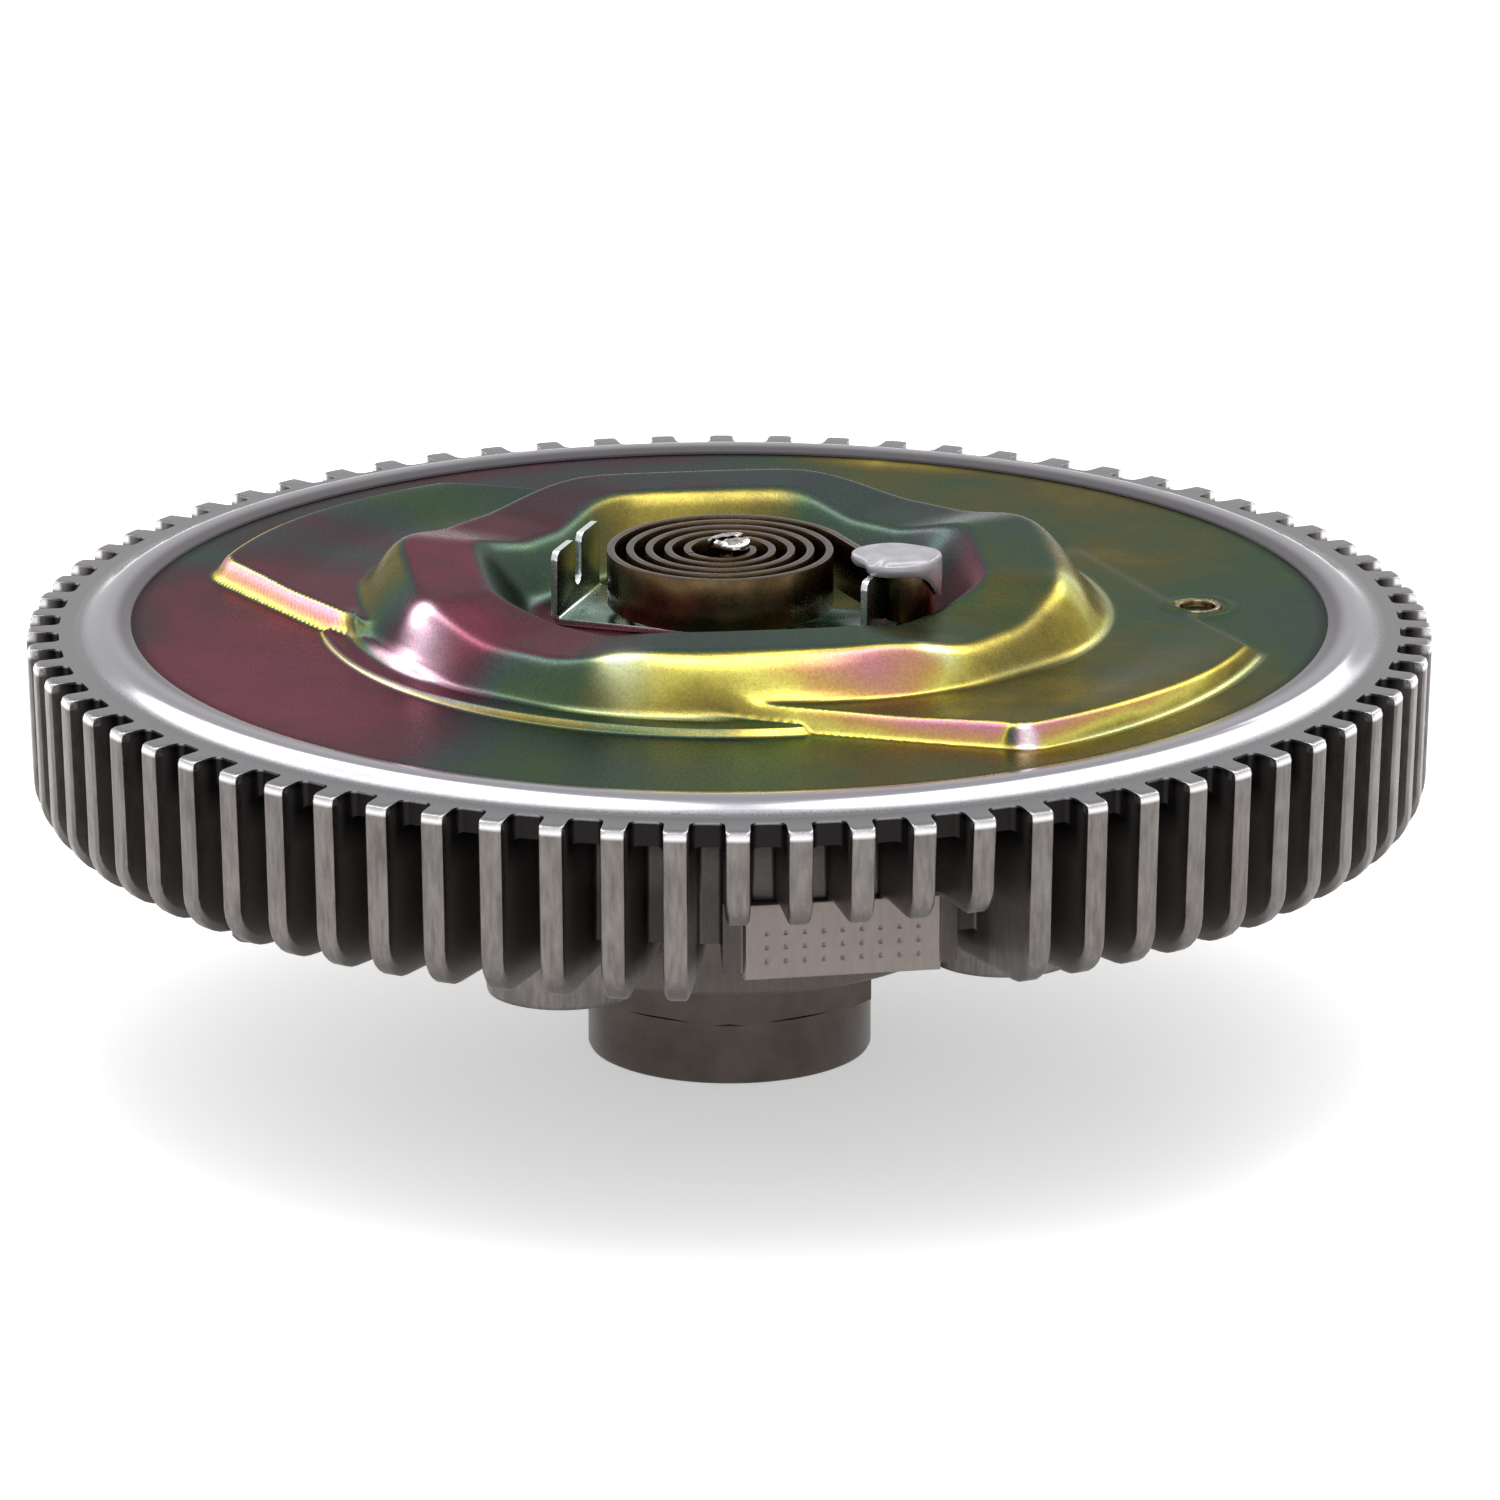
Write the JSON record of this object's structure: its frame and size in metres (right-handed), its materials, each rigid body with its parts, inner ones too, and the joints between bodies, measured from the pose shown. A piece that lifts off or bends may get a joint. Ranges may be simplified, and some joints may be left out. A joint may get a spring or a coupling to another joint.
{
  "type": "viscous fan clutch",
  "caption": "Thermostatic viscous fan clutch: finned cast housing on a screw-on steel hub, stamped cover with an octagonal dome and a bimetal coil in its well.",
  "frame": {"origin": "centre of the hub's end face, which the part stands on", "axes": "+Z along the shaft from the hub to the front cover; -Y towards the viewer of the picture, on the side of the flat code pad"},
  "size_m": [0.198, 0.198, 0.0748],
  "materials": {
    "hub_steel": "turned, dark brown-grey oiled",
    "rotor_aluminium": "turned",
    "bearing_steel": "ground",
    "ball_steel": "polished",
    "plate_steel": "cold rolled, satin",
    "seal_rubber": "moulded",
    "spring_steel": "phosphated",
    "cast_aluminium": "die cast, satin, with a bright rolled lip",
    "chromated_steel": "stamped, iridescent yellow chromate",
    "chromated_plug": "yellow chromate",
    "wiper_plastic": "moulded",
    "rivet_steel": "headed",
    "bright_steel": "bright, staked at the top",
    "bush_bronze": "sintered",
    "zinc_steel": "bright zinc",
    "bimetal": "rolled strip, dark bronze",
    "sealant": "cured dab, silver grey"
  },
  "bodies": {
    "hub": {"hub_shaft": "hub_steel", "rotor": "rotor_aluminium", "bearing_inner_race": "bearing_steel"},
    "cage": {"bearing_balls": "ball_steel", "bearing_cage": "plate_steel"},
    "housing": {"housing": "cast_aluminium", "bearing_outer_race": "bearing_steel", "bearing_seal_rear": "seal_rubber", "bearing_seal_front": "seal_rubber", "bearing_retaining_ring": "spring_steel", "front_cover": "chromated_steel", "fill_plug": "chromated_plug", "cover_seal": "seal_rubber", "pump_plate": "plate_steel", "pump_wipers": "wiper_plastic", "wiper_rivets": "rivet_steel", "valve_bushing": "bush_bronze", "coil_bracket": "zinc_steel", "bimetal_coil": "bimetal", "anchor_sealant": "sealant"},
    "valve": {"valve_shaft": "bright_steel", "valve_arm": "plate_steel", "valve_shaft_o_ring": "seal_rubber"}
  },
  "joints": [
    {"name": "housing_spin", "type": "hinge", "parent": "hub", "child": "housing", "pos_m": [0, 0, 0.0275], "axis": [0, 0, 1], "continuous": true},
    {"name": "cage_spin", "type": "hinge", "parent": "hub", "child": "cage", "pos_m": [0, 0, 0.0275], "axis": [0, 0, 1], "continuous": true},
    {"name": "valve_turn", "type": "hinge", "parent": "housing", "child": "valve", "pos_m": [0, 0, 0.062], "axis": [0, 0, 1], "range_deg": [0, 35], "stiffness_Nm_per_rad": 0.05, "deforming": ["bimetal_coil"]}
  ],
  "couplings": [
    {"joint": "cage_spin", "follows": "housing_spin", "ratio": 0.6045}
  ]
}
